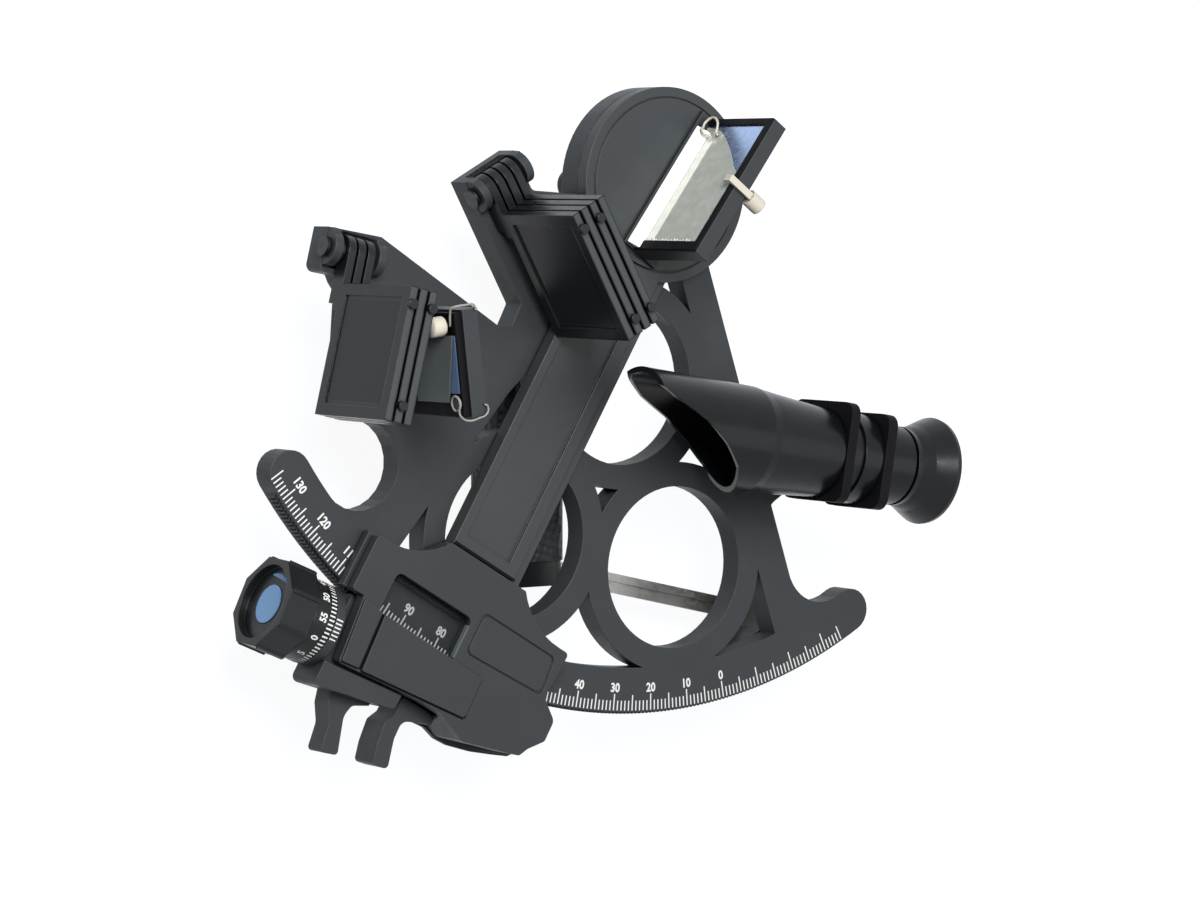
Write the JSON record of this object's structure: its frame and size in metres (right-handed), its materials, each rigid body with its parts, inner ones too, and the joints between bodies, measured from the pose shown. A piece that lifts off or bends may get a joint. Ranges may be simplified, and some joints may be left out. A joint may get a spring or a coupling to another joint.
{
  "type": "marine sextant",
  "caption": "Marine sextant in charcoal-grey moulded plastic with a three-ring frame, micrometer drum, short black telescope and swing-over shades, lying on its back.",
  "frame": {"origin": "Pivot axis of the index arm, on the plane that the three feet rest on.", "axes": "+Z points from the table out of the arc's front face, +Y runs from the arc towards the pivot, and +X points the way the eyepiece does."},
  "size_m": [0.2261, 0.2202, 0.0899],
  "materials": {
    "body_plastic": "moulded charcoal-grey plastic, satin",
    "black_plastic": "moulded near-black plastic",
    "bright_metal": "bright metal, plain",
    "bronze": "plain bearing bush",
    "mirror_glass": "front of silvered glass",
    "lens_glass": "clear, faintly coated",
    "window_glass": "clear plastic pane",
    "shade_glass": "deep grey-blue tint",
    "blue_plastic": "blue disc, glossy",
    "soft_rubber": "matt black rubber"
  },
  "bodies": {
    "frame_body": {"frame": "body_plastic", "pivot_bush": "bronze", "horizon_mirror_foot": "body_plastic", "horizon_mirror_tray": "body_plastic", "horizon_mirror_glass": "mirror_glass", "horizon_mirror_clips": "bright_metal", "horizon_adjuster": "bright_metal", "index_shade_pin": "bright_metal", "horizon_shade_pin": "bright_metal", "telescope_tube": "black_plastic", "objective_lens": "lens_glass", "objective_ring": "black_plastic", "focus_collar": "black_plastic", "telescope_bracket": "black_plastic", "handle_front": "black_plastic", "handle_back": "black_plastic", "handle_caps": "black_plastic", "handle_bar": "bright_metal", "legs": "black_plastic", "foot_pads": "soft_rubber"},
    "index_arm_body": {"index_arm": "body_plastic", "arm_casing": "body_plastic", "casing_back": "body_plastic", "index_plate": "body_plastic", "side_plate": "body_plastic", "window_pane": "window_glass", "fixed_finger_lever": "body_plastic", "pivot_axle": "bright_metal", "pivot_washer": "bright_metal", "pivot_nut": "bright_metal", "carriage_pin": "bright_metal", "release_spring": "bright_metal", "index_mirror_foot": "body_plastic", "index_mirror_tray": "body_plastic", "index_mirror_glass": "mirror_glass", "index_mirror_strip": "bright_metal", "index_mirror_clips": "bright_metal", "index_adjuster": "bright_metal"},
    "worm_carriage_body": {"worm_carriage": "body_plastic"},
    "micrometer": {"worm_shaft": "bright_metal", "drum": "black_plastic", "knob": "black_plastic", "knob_cap": "blue_plastic"},
    "eyepiece": {"eye_tube": "black_plastic", "eye_lens": "lens_glass", "eye_cup": "soft_rubber"},
    "index_shade_body_1": {"index_shade_1": "black_plastic", "index_glass_1": "shade_glass"},
    "index_shade_body_2": {"index_shade_2": "black_plastic", "index_glass_2": "shade_glass"},
    "index_shade_body_3": {"index_shade_3": "black_plastic", "index_glass_3": "shade_glass"},
    "index_shade_body_4": {"index_shade_4": "black_plastic", "index_glass_4": "shade_glass"},
    "horizon_shade_body_1": {"horizon_shade_1": "black_plastic", "horizon_glass_1": "shade_glass"},
    "horizon_shade_body_2": {"horizon_shade_2": "black_plastic", "horizon_glass_2": "shade_glass"},
    "horizon_shade_body_3": {"horizon_shade_3": "black_plastic", "horizon_glass_3": "shade_glass"}
  },
  "joints": [
    {"name": "index_arm_swing", "type": "hinge", "parent": "frame_body", "child": "index_arm_body", "pos_m": [0, 0, 0.046], "axis": [0, 0, 1], "range_deg": [-16, 46.5]},
    {"name": "release_lever", "type": "hinge", "parent": "index_arm_body", "child": "worm_carriage_body", "pos_m": [-0.00667, -0.17028, 0.046], "axis": [0, 0, 1], "range_deg": [0, 4.5], "stiffness_Nm_per_rad": 1, "springref_deg": -2.86, "deforming": ["release_spring"]},
    {"name": "drum_spin", "type": "hinge", "parent": "worm_carriage_body", "child": "micrometer", "pos_m": [-0.02288, -0.1628, 0.042], "axis": [0.9903, -0.1392, 0], "continuous": true},
    {"name": "index_shade_swing_1", "type": "hinge", "parent": "frame_body", "child": "index_shade_body_1", "pos_m": [-0.06352, -0.02184, 0.047], "axis": [-0.7133, -0.7009, 0], "range_deg": [0, 120]},
    {"name": "index_shade_swing_2", "type": "hinge", "parent": "frame_body", "child": "index_shade_body_2", "pos_m": [-0.06352, -0.02184, 0.047], "axis": [-0.7133, -0.7009, 0], "range_deg": [0, 120]},
    {"name": "index_shade_swing_3", "type": "hinge", "parent": "frame_body", "child": "index_shade_body_3", "pos_m": [-0.06352, -0.02184, 0.047], "axis": [-0.7133, -0.7009, 0], "range_deg": [0, 120]},
    {"name": "index_shade_swing_4", "type": "hinge", "parent": "frame_body", "child": "index_shade_body_4", "pos_m": [-0.06352, -0.02184, 0.047], "axis": [-0.7133, -0.7009, 0], "range_deg": [0, 120]},
    {"name": "horizon_shade_swing_1", "type": "hinge", "parent": "frame_body", "child": "horizon_shade_body_1", "pos_m": [-0.10879, -0.0492, 0.047], "axis": [-0.9994, -0.0349, 0], "range_deg": [0, 120]},
    {"name": "horizon_shade_swing_2", "type": "hinge", "parent": "frame_body", "child": "horizon_shade_body_2", "pos_m": [-0.10879, -0.0492, 0.047], "axis": [-0.9994, -0.0349, 0], "range_deg": [0, 120]},
    {"name": "horizon_shade_swing_3", "type": "hinge", "parent": "frame_body", "child": "horizon_shade_body_3", "pos_m": [-0.10879, -0.0492, 0.047], "axis": [-0.9994, -0.0349, 0], "range_deg": [0, 120]},
    {"name": "focus_slide", "type": "slide", "parent": "frame_body", "child": "eyepiece", "axis": [0.9945, 0.1045, 0], "range_m": [0, 0.006]}
  ],
  "couplings": [
    {"joint": "drum_spin", "follows": "index_arm_swing", "ratio": 720}
  ]
}
